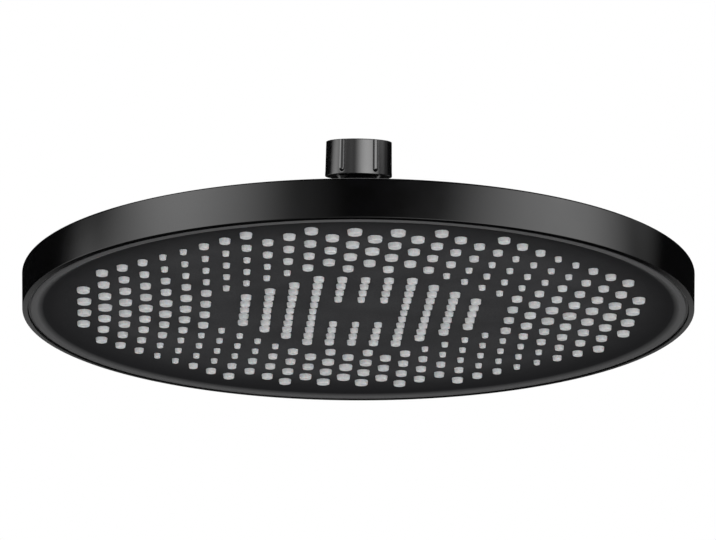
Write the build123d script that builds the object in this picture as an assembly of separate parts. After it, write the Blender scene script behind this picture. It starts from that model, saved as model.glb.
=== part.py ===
"""Round rain shower head on a swivel nut, in millimetres.

The head lies level: Z is the head's own axis and Z = 0 is the lowest circle of its spray face.
The nut stands on a ball at the top and leans towards -Y, as the head has been tipped on its ball.
"""

import os
from math import cos, hypot, radians, sin, sqrt, tan

from build123d import *

# Side wall and back of the housing
HEAD_DIAMETER = 301.0  # across the top edge of the side wall
WALL_HEIGHT = 16.6  # lower edge to top edge of the side wall
WALL_DRAFT = 0.5  # how far the side wall comes in towards its lower edge
WALL = 2.4  # thickness of the moulded shell
EDGE_LIFT = 0.55  # lower edge of the housing above the lowest circle of the face
LOWER_EDGE_RADIUS = 0.25
TOP_EDGE_RADIUS = 0.7
BACK_SLOPE = 7.5  # degrees, rise of the conical back
BOSS_RADIUS = 15.0
BOSS_BLEND = 20.0  # radius between the back and the boss
SEAT_STEP = 1.6  # width of the shoulder that the face's flange bears on

# Spray face, measured inwards from the lower edge of the housing
FACE_LIFT = 3.0  # flat of the face above its lowest circle
FACE_THICKNESS = 2.5
SEAM_DEPTH = 3.0  # open groove between the bead and the housing
SEAM_WIDTH = 1.2
FLANGE_HEIGHT = 2.5
FLANGE_PLAY = 0.2  # flange to housing, on the radius
BEAD_WIDTH = 3.0
BEAD_CROWN = 0.5  # how far the bead's middle stands below its edges
SHOULDER_WIDTH = 2.8
SHOULDER_RISE = 1.0
DISH_WIDTH = 8.8  # slope between the shoulder and the flat

# Nozzles: an outer field on a bowed checkerboard and a middle field on a square grid
NOZZLE_HEIGHT = 1.9
NOZZLE_SIDES = 8
NOZZLE_TAPER = 0.35  # tip smaller than base, on the radius
FIELD_PITCH = 8.48
FIELD_STEPS = 14  # checkerboard steps from the centre to the outermost row
FIELD_MARGIN = 2.5  # centre of the outermost nozzles to the edge of the flat, at least
FIELD_STRETCH_ALONG = 0.031  # growth of the pitch along a row, centre to outermost step
FIELD_STRETCH_ACROSS = 0.074  # growth of the pitch with the distance across the rows
HOLLOW_STEPS = 7  # half width of the eight-sided gap in the outer field, in steps
HOLLOW_CORNER = 9  # the gap's cut corners: steps along plus steps across
FIELD_SMALL = 3.2  # base diameter near the diagonals
FIELD_GROWTH = 0.5  # added for each step of the size classes towards the rows on the axes
FIELD_FIRST_GROWTH = 0.7  # extra for the first of those steps
LARGER_LINES = (11, 19)  # lines of the checkerboard whose nozzles are one class larger
MIDDLE_PITCH = 10.2
MIDDLE_STEPS = 5
MIDDLE_CORNER = 7
MIDDLE_BARE = 1  # bare square at the very centre, in steps
MIDDLE_SMALL = 3.4
MIDDLE_GROWTH = 0.28

# Water chamber behind the face
CHAMBER_DEPTH = 4.0
RING_WIDTH = 5.0
SEAL_WIDTH = 2.0
SEAL_DEPTH = 1.6
PLATE_THICKNESS = 2.5
PLATE_PLAY = 2.5  # edge of the lid to the housing
PLATE_MARGIN = 3.8  # screw circle to the edge of the lid
RIB_COUNT = 8
RIB_THICKNESS = 2.0
RIB_HEIGHT = 2.5
POST_RADIUS = 11.5
POST_PLAY = 0.3  # post to boss, on the radius
WATERWAY_RADIUS = 4.6
SCREW_COUNT = 8
SCREW_RADIUS = 1.2
SCREW_HEAD_RADIUS = 2.8
SCREW_HEAD_HEIGHT = 1.9
SCREW_DEPTH = 4.0  # thread in the face's pillars
PILLAR_RADIUS = 3.2
PILOT_PLAY = 0.05
HOLE_PLAY = 0.3

# Ball stem: ball, neck, hexagon collar and spigot
BALL_RISE = 50.8  # centre of the ball above the top edge of the side wall
BALL_RADIUS = 7.8
BALL_TOP = 3.3  # flat top above the ball's centre
NECK_RADIUS = 4.2
TILT_LIMIT = 15.0  # degrees that the head tips each way on its ball
TILT_ROOM = 0.6  # left between the head and the nut at that limit
COLLAR_ACROSS_FLATS = 18.0
COLLAR_HEIGHT = 5.0
SPIGOT_RADIUS = 7.5
SPIGOT_LENGTH = 14.4
SPIGOT_PLAY = 0.1
STEM_BORE_RADIUS = 3.0
BALL_MOUTH_RADIUS = 5.2
STEM_SEAL_THICKNESS = 2.0

# Swivel nut, along its own axis from the ball's centre
NUT_TILT = 12.0  # degrees that the nut leans from the head's axis
NUT_DIAMETER = 30.3  # at its lower edge
NUT_TAPER = 0.25  # smaller at the top, on the radius
NUT_HEIGHT = 16.45  # gripped part
NUT_BOTTOM = -2.55  # lower edge of the gripped part
NUT_BEVEL = 0.6
LIP_DIAMETER = 21.3  # narrow lip under the gripped part
LIP_HEIGHT = 3.65
LIP_TAPER = 1.0  # smaller at its lower end, on the radius
LIP_FLOOR = 1.35  # thickness of the lip's floor
THREAD_BORE_RADIUS = 9.316  # minor radius of a G 1/2 pipe thread
THREAD_LEAD_IN = 1.2
THREAD_RELIEF_RADIUS = 10.3
GROOVE_COUNT = 6
GROOVE_WIDTH = 2.1
GROOVE_DEPTH = 0.7
GROOVE_STOP = 1.6  # lower end of a groove above the nut's lower edge
GROOVE_TURN = -4.0  # degrees that the grooves are turned from X

# Rings inside the nut
RING_RADIUS = 9.2
RUNNING_GAP = 0.05  # between pieces that turn on each other
SEAT_LATITUDE = -25.0  # degrees, where the ball bears on its seat
SEAT_TOP = -0.8
SEAL_LATITUDE = 10.0  # degrees, where the seal bears on the ball
SEAL_BOTTOM = 0.4
SCREEN_ROOM = 0.2  # left between the ball's flat top and the screen at the limit of tilt
SCREEN_THICKNESS = 0.4
SCREEN_HOLE = 1.9  # across the corners of a mesh opening
SCREEN_PITCH = 2.6
SCREEN_RINGS = 2
WASHER_THICKNESS = 1.4
WASHER_BORE_RADIUS = 6.4

# Worked out from the sizes above: housing and face
EDGE_RADIUS = HEAD_DIAMETER / 2 - WALL_DRAFT
TOP_RADIUS = HEAD_DIAMETER / 2
WALL_TOP = EDGE_LIFT + WALL_HEIGHT
LOWER_BORE = EDGE_RADIUS - WALL
SEAT_BORE = LOWER_BORE - SEAT_STEP
FLANGE_BOTTOM = EDGE_LIFT + SEAM_DEPTH
FLANGE_TOP = FLANGE_BOTTOM + FLANGE_HEIGHT
BEAD_OUTER = LOWER_BORE - SEAM_WIDTH
BEAD_INNER = BEAD_OUTER - BEAD_WIDTH
DISH_OUTER = BEAD_INNER - SHOULDER_WIDTH
FLAT_RADIUS = DISH_OUTER - DISH_WIDTH
FACE_BACK = FACE_LIFT + FACE_THICKNESS

# Chamber
PLATE_RADIUS = SEAT_BORE - PLATE_PLAY
SCREW_CIRCLE = PLATE_RADIUS - PLATE_MARGIN
RING_OUTER = SCREW_CIRCLE - PLATE_MARGIN
CHAMBER_RADIUS = RING_OUTER - RING_WIDTH
SEAL_GROOVE = CHAMBER_RADIUS + (RING_WIDTH - SEAL_WIDTH) / 2
PLATE_BOTTOM = FACE_BACK + CHAMBER_DEPTH
PLATE_TOP = PLATE_BOTTOM + PLATE_THICKNESS

# Nut and its rings, along the nut's axis from the ball's centre
TILT_COS, TILT_SIN, TILT_TAN = cos(radians(TILT_LIMIT)), sin(radians(TILT_LIMIT)), tan(radians(TILT_LIMIT))
NUT_TOP = NUT_BOTTOM + NUT_HEIGHT
LIP_BOTTOM = NUT_BOTTOM - LIP_HEIGHT
LIP_OPENING_RADIUS = NECK_RADIUS / TILT_COS - LIP_BOTTOM * TILT_TAN + TILT_ROOM
SEAT_SHELF = LIP_BOTTOM + LIP_FLOOR
BALL_TOP_RADIUS = sqrt(BALL_RADIUS**2 - BALL_TOP**2)
SEAL_TOP = BALL_TOP * TILT_COS + BALL_TOP_RADIUS * TILT_SIN + SCREEN_ROOM
SCREEN_BOTTOM = SEAL_TOP + RUNNING_GAP
WASHER_BOTTOM = SCREEN_BOTTOM + SCREEN_THICKNESS
WASHER_TOP = WASHER_BOTTOM + WASHER_THICKNESS
THREAD_END = WASHER_TOP + RUNNING_GAP
RING_BORE = RING_RADIUS + 2 * RUNNING_GAP
BEARING_RADIUS = BALL_RADIUS + RUNNING_GAP

# Stem and boss
BALL_HEIGHT = WALL_TOP + BALL_RISE
COLLAR_TOP = BALL_HEIGHT + LIP_BOTTOM * TILT_COS - LIP_DIAMETER / 2 * TILT_SIN - TILT_ROOM
BOSS_TOP = COLLAR_TOP - COLLAR_HEIGHT
POST_TOP = BOSS_TOP - WALL
SPIGOT_END = BOSS_TOP - SPIGOT_LENGTH


def turned(outline, rounds=None):
    """Solid of revolution about Z from (radius, height) corners; rounds gives a corner's radius."""
    section = make_face(Polyline(*outline, close=True))
    for corner, radius in (rounds or {}).items():
        nearest = section.vertices().sort_by_distance(outline[corner])[0]
        section = fillet(nearest, radius)
    return revolve(Plane.XZ * section, Axis.Z)


def ring(inner, outer, bottom, top):
    """Square-edged ring about Z."""
    return turned([(inner, bottom), (outer, bottom), (outer, top), (inner, top)])


def rod(radius, bottom, top):
    """Round bar about Z."""
    return Pos(0, 0, bottom) * Cylinder(radius, top - bottom, align=(Align.CENTER, Align.CENTER, Align.MIN))


def on_nut(solid):
    """Carry a piece from the nut's own axis, with the ball's centre at its origin, to its place."""
    return Location((0, 0, BALL_HEIGHT), (NUT_TILT, 0, 0)) * solid


def around(count, radius, first=0.0):
    """Places evenly spaced on a circle about Z."""
    return PolarLocations(radius, count, start_angle=first)


def back_height(radius):
    """Outside of the conical back at a radius."""
    return WALL_TOP + (TOP_RADIUS - radius) * tan(radians(BACK_SLOPE))


def inside_height(radius):
    """Inside of the conical back at a radius."""
    return back_height(radius) - WALL / cos(radians(BACK_SLOPE))


def boss_blend(room):
    """Radius between the back and the boss, no larger than the boss's wall has room for."""
    reach = tan(radians(90 - BACK_SLOPE) / 2)
    return min(BOSS_BLEND, 0.95 * room / reach)


def top_housing():
    """Moulded shell: side wall, conical back and the boss that the stem's collar clamps."""
    cavity = POST_RADIUS + POST_PLAY
    outside = boss_blend(BOSS_TOP - TOP_EDGE_RADIUS - back_height(BOSS_RADIUS))
    inside = boss_blend(POST_TOP - inside_height(cavity))
    outline = [
        (LOWER_BORE, EDGE_LIFT),
        (EDGE_RADIUS, EDGE_LIFT),
        (TOP_RADIUS, WALL_TOP),
        (BOSS_RADIUS, back_height(BOSS_RADIUS)),
        (BOSS_RADIUS, BOSS_TOP),
        (SPIGOT_RADIUS + HOLE_PLAY, BOSS_TOP),
        (SPIGOT_RADIUS + HOLE_PLAY, POST_TOP),
        (cavity, POST_TOP),
        (cavity, inside_height(cavity)),
        (SEAT_BORE, inside_height(SEAT_BORE)),
        (SEAT_BORE, FLANGE_TOP),
        (LOWER_BORE, FLANGE_TOP),
    ]
    rounds = {
        1: LOWER_EDGE_RADIUS,
        2: TOP_EDGE_RADIUS,
        3: outside,
        4: TOP_EDGE_RADIUS,
        8: inside,
    }
    return turned(outline, rounds)


def spray_face():
    """Dished face with its bead and flange in front, and the chamber's ring wall and pillars behind."""
    flange_outer = LOWER_BORE - FLANGE_PLAY
    skirt_inner = BEAD_OUTER - WALL
    front = Line((0, FACE_LIFT), (FLAT_RADIUS, FACE_LIFT))
    dish = Line(front @ 1, (DISH_OUTER, BEAD_CROWN + SHOULDER_RISE))
    shoulder = Line(dish @ 1, (BEAD_INNER, BEAD_CROWN))
    bead = ThreePointArc(shoulder @ 1, (BEAD_INNER + BEAD_WIDTH / 2, 0), (BEAD_OUTER, BEAD_CROWN))
    rest = Polyline(
        bead @ 1,
        (BEAD_OUTER, FLANGE_BOTTOM),
        (flange_outer, FLANGE_BOTTOM),
        (flange_outer, FLANGE_TOP),
        (skirt_inner, FLANGE_TOP),
        (skirt_inner, FACE_BACK),
        (RING_OUTER, FACE_BACK),
        (RING_OUTER, PLATE_BOTTOM),
        (SEAL_GROOVE + SEAL_WIDTH, PLATE_BOTTOM),
        (SEAL_GROOVE + SEAL_WIDTH, PLATE_BOTTOM - SEAL_DEPTH),
        (SEAL_GROOVE, PLATE_BOTTOM - SEAL_DEPTH),
        (SEAL_GROOVE, PLATE_BOTTOM),
        (CHAMBER_RADIUS, PLATE_BOTTOM),
        (CHAMBER_RADIUS, FACE_BACK),
        (0, FACE_BACK),
        (0, FACE_LIFT),
    )
    body = revolve(Plane.XZ * make_face(front + dish + shoulder + bead + rest), Axis.Z)
    pillar = rod(PILLAR_RADIUS, FACE_BACK - FACE_THICKNESS / 2, PLATE_BOTTOM)
    pilot = rod(SCREW_RADIUS + PILOT_PLAY, PLATE_BOTTOM - SCREW_DEPTH - PILOT_PLAY, PLATE_BOTTOM)
    body += [place * pillar for place in around(SCREW_COUNT, SCREW_CIRCLE)]
    body -= [place * pilot for place in around(SCREW_COUNT, SCREW_CIRCLE)]
    return body


def nozzle(diameter):
    """One silicone nozzle, base up on the face: a short eight-sided barrel that narrows to its tip."""
    base = RegularPolygon(diameter / 2, NOZZLE_SIDES)
    tip = RegularPolygon(diameter / 2 - NOZZLE_TAPER, NOZZLE_SIDES)
    return loft([Pos(0, 0, FACE_LIFT - NOZZLE_HEIGHT) * tip, Pos(0, 0, FACE_LIFT) * base])


def field_nozzles():
    """Centres and base diameters of the outer field.

    Steps along and across count from the centre, and only every other site of the board is used.
    Rows bow outwards, and nozzles grow from the diagonals towards the rows on the axes.
    """
    steps = range(-FIELD_STEPS, FIELD_STEPS + 1)
    for along in steps:
        for across in steps:
            a, b = abs(along), abs(across)
            in_hollow = max(a, b) <= HOLLOW_STEPS and a + b <= HOLLOW_CORNER
            x = FIELD_PITCH * along * bow(a, b)
            y = FIELD_PITCH * across * bow(b, a)
            if (a + b) % 2 == 0 or in_hollow or hypot(x, y) > FLAT_RADIUS - FIELD_MARGIN:
                continue
            size_class = max(0, (abs(a - b) - 3) // 2)
            if max(a, b) > HOLLOW_STEPS and a + b in LARGER_LINES and abs(a - b) > 1:
                size_class += 1
            growth = FIELD_FIRST_GROWTH + FIELD_GROWTH * size_class if size_class else 0
            yield x, y, FIELD_SMALL + growth


def bow(own, other):
    """Factor on the pitch at a site, from its steps along its own row and across the rows."""
    own_share, other_share = own / FIELD_STEPS, other / FIELD_STEPS
    return 1 + FIELD_STRETCH_ALONG * own_share**2 + FIELD_STRETCH_ACROSS * other_share**2


def middle_nozzles():
    """Centres and base diameters of the middle field: a square grid with cut corners and a bare centre."""
    steps = range(-MIDDLE_STEPS, MIDDLE_STEPS + 1)
    for along in steps:
        for across in steps:
            a, b = abs(along), abs(across)
            if a + b > MIDDLE_CORNER or max(a, b) <= MIDDLE_BARE:
                continue
            growth = MIDDLE_GROWTH * (a + b - 1 - MIDDLE_BARE)
            yield MIDDLE_PITCH * along, MIDDLE_PITCH * across, MIDDLE_SMALL + growth


def spray_nozzles():
    """All nozzles as separate solids, one shape for each diameter."""
    shapes, placed = {}, []
    for x, y, diameter in [*field_nozzles(), *middle_nozzles()]:
        size = round(diameter, 3)
        if size not in shapes:
            shapes[size] = nozzle(size).solid()
        placed.append(shapes[size].moved(Location((x, y, 0))))
    return Compound(placed)


def chamber_seal():
    """Rubber ring in the groove of the chamber's ring wall."""
    return ring(SEAL_GROOVE, SEAL_GROOVE + SEAL_WIDTH, PLATE_BOTTOM - SEAL_DEPTH, PLATE_BOTTOM)


def chamber_plate():
    """Lid of the water chamber, with stiffening ribs and the post that the stem screws into."""
    body = turned(
        [
            (WATERWAY_RADIUS, PLATE_BOTTOM),
            (PLATE_RADIUS, PLATE_BOTTOM),
            (PLATE_RADIUS, PLATE_TOP),
            (POST_RADIUS, PLATE_TOP),
            (POST_RADIUS, POST_TOP),
            (SPIGOT_RADIUS + SPIGOT_PLAY, POST_TOP),
            (SPIGOT_RADIUS + SPIGOT_PLAY, SPIGOT_END - STEM_SEAL_THICKNESS),
            (WATERWAY_RADIUS, SPIGOT_END - STEM_SEAL_THICKNESS),
        ]
    )
    length = CHAMBER_RADIUS - POST_RADIUS
    rib = Pos(POST_RADIUS + length / 2, 0, PLATE_TOP + RIB_HEIGHT / 2) * Box(
        length + RIB_THICKNESS, RIB_THICKNESS, RIB_HEIGHT
    )
    hole = rod(SCREW_RADIUS + HOLE_PLAY, PLATE_BOTTOM, PLATE_TOP)
    body += [turn * rib for turn in around(RIB_COUNT, 0, first=180 / RIB_COUNT)]
    body -= [place * hole for place in around(SCREW_COUNT, SCREW_CIRCLE)]
    return body


def plate_screws():
    """Pan-head screws that hold the chamber's lid on the face's pillars."""
    screw = rod(SCREW_HEAD_RADIUS, PLATE_TOP, PLATE_TOP + SCREW_HEAD_HEIGHT)
    screw += rod(SCREW_RADIUS, PLATE_BOTTOM - SCREW_DEPTH, PLATE_TOP)
    return Compound([place * screw.solid() for place in around(SCREW_COUNT, SCREW_CIRCLE)])


def stem_seal():
    """Flat rubber ring under the end of the spigot."""
    return ring(WATERWAY_RADIUS, SPIGOT_RADIUS, SPIGOT_END - STEM_SEAL_THICKNESS, SPIGOT_END)


def ball_stem():
    """Hollow ball on a neck, with a hexagon collar and the spigot that screws into the post."""
    ball = Pos(0, 0, BALL_HEIGHT) * Sphere(BALL_RADIUS)
    ball -= rod(BALL_RADIUS, BALL_HEIGHT + BALL_TOP, BALL_HEIGHT + BALL_RADIUS)
    collar = Pos(0, 0, BOSS_TOP) * extrude(
        RegularPolygon(COLLAR_ACROSS_FLATS / 2, 6, major_radius=False), COLLAR_HEIGHT
    )
    stem = ball + rod(NECK_RADIUS, COLLAR_TOP, BALL_HEIGHT) + collar
    stem += rod(SPIGOT_RADIUS, SPIGOT_END, BOSS_TOP)
    mouth = BALL_MOUTH_RADIUS - STEM_BORE_RADIUS
    top = BALL_HEIGHT + BALL_TOP
    stem -= turned(
        [
            (0, SPIGOT_END),
            (STEM_BORE_RADIUS, SPIGOT_END),
            (STEM_BORE_RADIUS, top - mouth),
            (BALL_MOUTH_RADIUS, top),
            (0, top),
        ]
    )
    return stem


def bearing_cone(latitude, height):
    """Radius, at a height, of the cone that touches the ball at a latitude."""
    slope = radians(latitude)
    touch_radius = BEARING_RADIUS * cos(slope)
    touch_height = BEARING_RADIUS * sin(slope)
    return touch_radius - (height - touch_height) * tan(slope)


def ball_seat():
    """Plastic ring on the nut's lip that the ball turns on."""
    bottom = SEAT_SHELF + RUNNING_GAP
    return turned(
        [
            (bearing_cone(SEAT_LATITUDE, bottom), bottom),
            (RING_RADIUS, bottom),
            (RING_RADIUS, SEAT_TOP),
            (bearing_cone(SEAT_LATITUDE, SEAT_TOP), SEAT_TOP),
        ]
    )


def ball_seal():
    """Rubber ring that closes on the ball from above."""
    return turned(
        [
            (bearing_cone(SEAL_LATITUDE, SEAL_BOTTOM), SEAL_BOTTOM),
            (RING_RADIUS, SEAL_BOTTOM),
            (RING_RADIUS, SEAL_TOP),
            (bearing_cone(SEAL_LATITUDE, SEAL_TOP), SEAL_TOP),
        ]
    )


def filter_screen():
    """Steel screen under the washer, with six-sided openings on a six-sided grid."""
    disc = rod(RING_RADIUS, SCREEN_BOTTOM, WASHER_BOTTOM)
    opening = Pos(0, 0, SCREEN_BOTTOM) * extrude(RegularPolygon(SCREEN_HOLE / 2, 6), SCREEN_THICKNESS)
    side = range(-SCREEN_RINGS, SCREEN_RINGS + 1)
    sites = [(i, j) for i in side for j in side if abs(i + j) <= SCREEN_RINGS]
    spots = [Pos(SCREEN_PITCH * (i + j / 2), SCREEN_PITCH * j * sqrt(3) / 2, 0) for i, j in sites]
    return disc - [spot * opening for spot in spots]


def inlet_washer():
    """Rubber washer that the pipe's end presses on."""
    return ring(WASHER_BORE_RADIUS, RING_RADIUS, WASHER_BOTTOM, WASHER_TOP)


def swivel_nut():
    """Gripped nut with a pipe thread above and a narrow lip below that holds the ball in."""
    outer = NUT_DIAMETER / 2
    top = outer - NUT_TAPER
    lip = LIP_DIAMETER / 2
    mouth = THREAD_BORE_RADIUS + THREAD_LEAD_IN
    body = turned(
        [
            (LIP_OPENING_RADIUS, LIP_BOTTOM),
            (lip - LIP_TAPER, LIP_BOTTOM),
            (lip, NUT_BOTTOM),
            (outer - NUT_BEVEL, NUT_BOTTOM),
            (outer, NUT_BOTTOM + NUT_BEVEL),
            (top, NUT_TOP - NUT_BEVEL),
            (top - NUT_BEVEL, NUT_TOP),
            (mouth, NUT_TOP),
            (THREAD_BORE_RADIUS, NUT_TOP - THREAD_LEAD_IN),
            (THREAD_BORE_RADIUS, THREAD_END),
            (THREAD_RELIEF_RADIUS, THREAD_END),
            (THREAD_RELIEF_RADIUS, SEAL_TOP),
            (RING_BORE, SEAL_TOP),
            (RING_BORE, SEAT_SHELF),
            (LIP_OPENING_RADIUS, SEAT_SHELF),
        ]
    )
    groove_end = NUT_BOTTOM + GROOVE_STOP
    floor = top - GROOVE_DEPTH
    width = GROOVE_WIDTH / 2
    slot = Pos(floor + outer / 2, 0, (groove_end + width + NUT_TOP) / 2) * Box(
        outer, GROOVE_WIDTH, NUT_TOP - groove_end - width
    )
    end = Pos(floor, 0, groove_end + width) * (Rot(0, 90, 0) * Cylinder(
        width, outer, align=(Align.CENTER, Align.CENTER, Align.MIN)
    ))
    return body - [turn * (slot + end) for turn in around(GROOVE_COUNT, 0, first=GROOVE_TURN)]


NODES = {
    "top_housing": top_housing,
    "spray_face": spray_face,
    "spray_nozzles": spray_nozzles,
    "chamber_seal": chamber_seal,
    "chamber_plate": chamber_plate,
    "plate_screws": plate_screws,
    "stem_seal": stem_seal,
    "ball_stem": ball_stem,
    "ball_seat": lambda: on_nut(ball_seat()),
    "ball_seal": lambda: on_nut(ball_seal()),
    "filter_screen": lambda: on_nut(filter_screen()),
    "inlet_washer": lambda: on_nut(inlet_washer()),
    "swivel_nut": lambda: on_nut(swivel_nut()),
}

os.makedirs("parts", exist_ok=True)
for name, make in NODES.items():
    export_step(make(), f"parts/{name}.step")
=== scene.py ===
"""Rain shower head on its swivel nut: the pieces that show, the studio and the camera.

Sizes are in metres, in the frame of the solids. Z is the head's axis, and Z = 0 is the lowest circle
of its spray face. The nut and its rings are worked out along their own leaning axis and carried over.
"""

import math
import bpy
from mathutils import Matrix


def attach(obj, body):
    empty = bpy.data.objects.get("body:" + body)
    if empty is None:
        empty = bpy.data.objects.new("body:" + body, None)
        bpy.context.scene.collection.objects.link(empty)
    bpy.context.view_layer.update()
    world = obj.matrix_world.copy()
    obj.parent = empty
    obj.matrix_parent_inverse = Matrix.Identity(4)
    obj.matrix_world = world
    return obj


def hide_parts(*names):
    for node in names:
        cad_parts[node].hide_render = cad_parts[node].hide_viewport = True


bl_info = {
    "name": "Rain shower head",
    "version": (1, 0, 0),
    "blender": (4, 5, 0),
    "location": "View3D > Sidebar > Shower head",
    "description": "Builds a round rain shower head and the studio that it is seen in",
    "category": "Object",
}

import bmesh
import bpy
import numpy as np
from bpy.props import FloatProperty, FloatVectorProperty, IntProperty, PointerProperty
from bpy.types import Operator, Panel, PropertyGroup
from mathutils import Matrix

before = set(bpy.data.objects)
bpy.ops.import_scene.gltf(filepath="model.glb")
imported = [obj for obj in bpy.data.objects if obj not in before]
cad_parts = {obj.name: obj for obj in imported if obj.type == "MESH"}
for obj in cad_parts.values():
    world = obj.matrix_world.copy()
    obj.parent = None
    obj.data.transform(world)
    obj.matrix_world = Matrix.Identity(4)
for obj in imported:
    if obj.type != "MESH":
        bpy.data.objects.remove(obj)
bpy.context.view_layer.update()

MM = 0.001
TURN = 2 * math.pi
PHOTO_WIDTH = 716  # pixels
SAME_POINT = 1e-7  # points nearer than this, in metres, are one
CAP_EDGE = math.radians(80)  # only a cap's edge is sharper than this
SATIN_FADE = 0.1 * MM  # height over which gloss turns to satin
BLEND_SHARE = 0.95  # most that the boss's blend takes of the room for it
HALF_ROUND = 0.3  # depth of a round's middle over its radius, about 1 - cos 45 degrees
NOISE_SPAN = {"From Min": 0.15, "From Max": 0.35}  # where the product of two noises mostly lies
CLOUD_DETAIL = 3.0
GRAIN_DETAIL = 2.0

# Columns of the turned pieces, and rows of the floor
HEAD_COLUMNS, PILLAR_COLUMNS, STEM_COLUMNS, WASHER_COLUMNS = 288, 16, 144, 96
FLOOR_COLUMNS, CARD_COLUMNS, FLOOR_ROWS = 96, 64, 12

# Colour sockets of the Mix node, whose names its number sockets also have
FROM_COLOUR, TO_COLOUR, MIXED_COLOUR = 6, 7, 2

# Lamps: name, azimuth from -Y and elevation in degrees, distance in metres, spread in degrees, strength
LAMPS = [
    ("left_softbox", -60, 17, 1.5, (37, 19), 3.3),
    ("right_softbox", 61, 14.5, 1.5, (40, 10), 3.0),
    ("right_strip", 99, 17.5, 1.5, (18, 8), 0.5),
    ("front_strip", 31, -4.5, 1.4, (52, 20), 4.7),
    ("left_strip", -99, 6.5, 1.4, (31, 10), 3.3),
    ("front_fill", -28, 4, 1.4, (26, 20), 0.6),
    ("back_card", 180, -14, 2.0, (50, 14), 0.27),
    ("rear_left_strip", -127, -13, 1.6, (28, 12), 1.0),
    ("rear_right_strip", 127, -13, 1.6, (28, 12), 1.0),
    ("top_softbox", 180, 58, 1.8, (45, 42), 1.3),
    ("low_left_strip", -90, -32, 1.0, (30, 14), 1.0),
    ("low_right_strip", 90, -32, 1.0, (30, 14), 1.0),
]
WASH = ("front_wash", -4, -20, 1.5, (40, 30), 1.6)


def linear(code):
    """Linear RGBA of an sRGB hex code: c / 12.92 up to 0.04045, and ((c + 0.055) / 1.055) ** 2.4 above."""
    c = np.array([int(code[i : i + 2], 16) for i in (1, 3, 5)]) / 255
    c = np.where(c <= 0.04045, c / 12.92, ((c + 0.055) / 1.055) ** 2.4)
    return (*map(float, c), 1.0)


def length(name, size, description):
    """Property for a length that is given in millimetres."""
    return FloatProperty(name=name, description=description, default=size * MM, unit="LENGTH", precision=5)


def angle(name, degrees, description):
    """Property for an angle that is given in degrees."""
    return FloatProperty(name=name, description=description, default=math.radians(degrees), subtype="ANGLE")


def count(name, size, description):
    """Property for a whole number."""
    return IntProperty(name=name, description=description, default=size, min=1)


def plain(name, size, description):
    """Property for a plain number."""
    return FloatProperty(name=name, description=description, default=size)


def colour(name, code, description):
    """Property for a colour that is given as an sRGB hex code."""
    return FloatVectorProperty(
        name=name, description=description, default=linear(code), size=4, min=0, max=1, subtype="COLOR"
    )


class HousingSizes(PropertyGroup):
    """Moulded shell of the head."""

    top_radius: length("Top radius", 150.5, "Top edge of the side wall")
    edge_radius: length("Edge radius", 150.0, "Lower edge of the side wall")
    edge_lift: length("Edge lift", 0.35, "Height of the lower edge")
    lip_rise: length("Lip rise", 0.3, "Rise of the rim from its inside to its edge")
    wall_top: length("Wall top", 17.15, "Height of the top edge")
    wall: length("Wall", 2.4, "Thickness of the shell")
    seat_step: length("Seat step", 1.6, "Shoulder for the face's flange")
    seat_height: length("Seat height", 6.05, "Height of that shoulder")
    slope: angle("Back slope", 7.5, "Rise of the conical back")
    boss_radius: length("Boss radius", 15.0, "Boss under the stem's collar")
    boss_top: length("Boss top", 53.605, "Height of the boss")
    boss_blend: length("Boss blend", 20.0, "Largest radius between the back and the boss")
    cavity_radius: length("Cavity radius", 11.8, "Room for the post inside the boss")
    hole_radius: length("Hole radius", 7.8, "Hole for the stem's spigot")
    lower_round: length("Lower round", 0.2, "Radius on the lower edge")
    top_round: length("Top round", 0.7, "Radius on the top edge and on the boss")
    fine_round: length("Fine round", 0.15, "Radius on all other edges")
    back_rough: plain("Back roughness", 0.4, "Satin of the back")
    black: colour("Black ABS", "#040405", "Polished black of the shell")


class FaceSizes(PropertyGroup):
    """Dished spray face with its bead."""

    flat_radius: length("Flat radius", 131.8, "Edge of the flat with the nozzles")
    flat_height: length("Flat height", 3.0, "Height of the flat")
    dish_radius: length("Dish radius", 140.6, "Outer edge of the dished slope")
    dish_height: length("Dish height", 1.5, "Height there")
    bead_inner: length("Bead inner radius", 143.4, "Inner edge of the bead")
    bead_outer: length("Bead outer radius", 146.4, "Outer edge of the bead, at the seam")
    bead_crown: length("Bead crown", 0.5, "Bead's middle below its edges")
    flange_radius: length("Flange radius", 147.4, "Flange that closes the seam")
    flange_bottom: length("Flange bottom", 1.1, "Lower side of the flange, the floor of the seam")
    flange_top: length("Flange top", 6.05, "Upper side of the flange")
    skirt_radius: length("Skirt radius", 144.0, "Inside of the skirt behind the bead")
    back: length("Back", 5.5, "Back of the face")
    ring_inner: length("Ring inner radius", 130.9, "Inside of the chamber's ring wall")
    ring_outer: length("Ring outer radius", 135.9, "Outside of the chamber's ring wall")
    ring_top: length("Ring top", 9.5, "Top of the chamber's ring wall")
    groove_inner: length("Groove inner radius", 132.4, "Inside of the seal's groove")
    groove_outer: length("Groove outer radius", 134.4, "Outside of the seal's groove")
    groove_floor: length("Groove floor", 7.9, "Floor of the seal's groove")
    pillar_circle: length("Pillar circle", 139.7, "Circle of the screw pillars")
    pillar_radius: length("Pillar radius", 3.2, "Radius of a screw pillar")
    pilot_radius: length("Pilot radius", 1.25, "Radius of a pillar's pilot hole")
    pillars: count("Pillars", 8, "Number of screw pillars")
    fine_round: length("Fine round", 0.12, "Radius on the edges behind")
    hold: length("Hold", 0.4, "Rows this far from a crease keep the slopes flat")
    # Painted shade: the flat's colour darkens over this band towards the dished slope
    fade: length("Fade", 22.0, "Width over which the flat darkens towards its edge")
    fade_end: length("Fade end", 2.0, "End of that fade inside the dish's outer edge")
    charcoal: colour("Charcoal ABS", "#333335", "Fine textured grey of the face")
    shade: colour("Charcoal shade", "#2A2A2C", "Darker grains of that texture")
    # Painted shade: the darker black blended over the flat's outer band and the dished slope
    dish: colour("Dish black", "#18181A", "Smoother black of the dished slope")
    # Painted sheen: the bead's lighter grey stands in for the gloss along its curve
    bead: colour("Bead grey", "#484849", "Rubbed satin grey of the bead")


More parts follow.
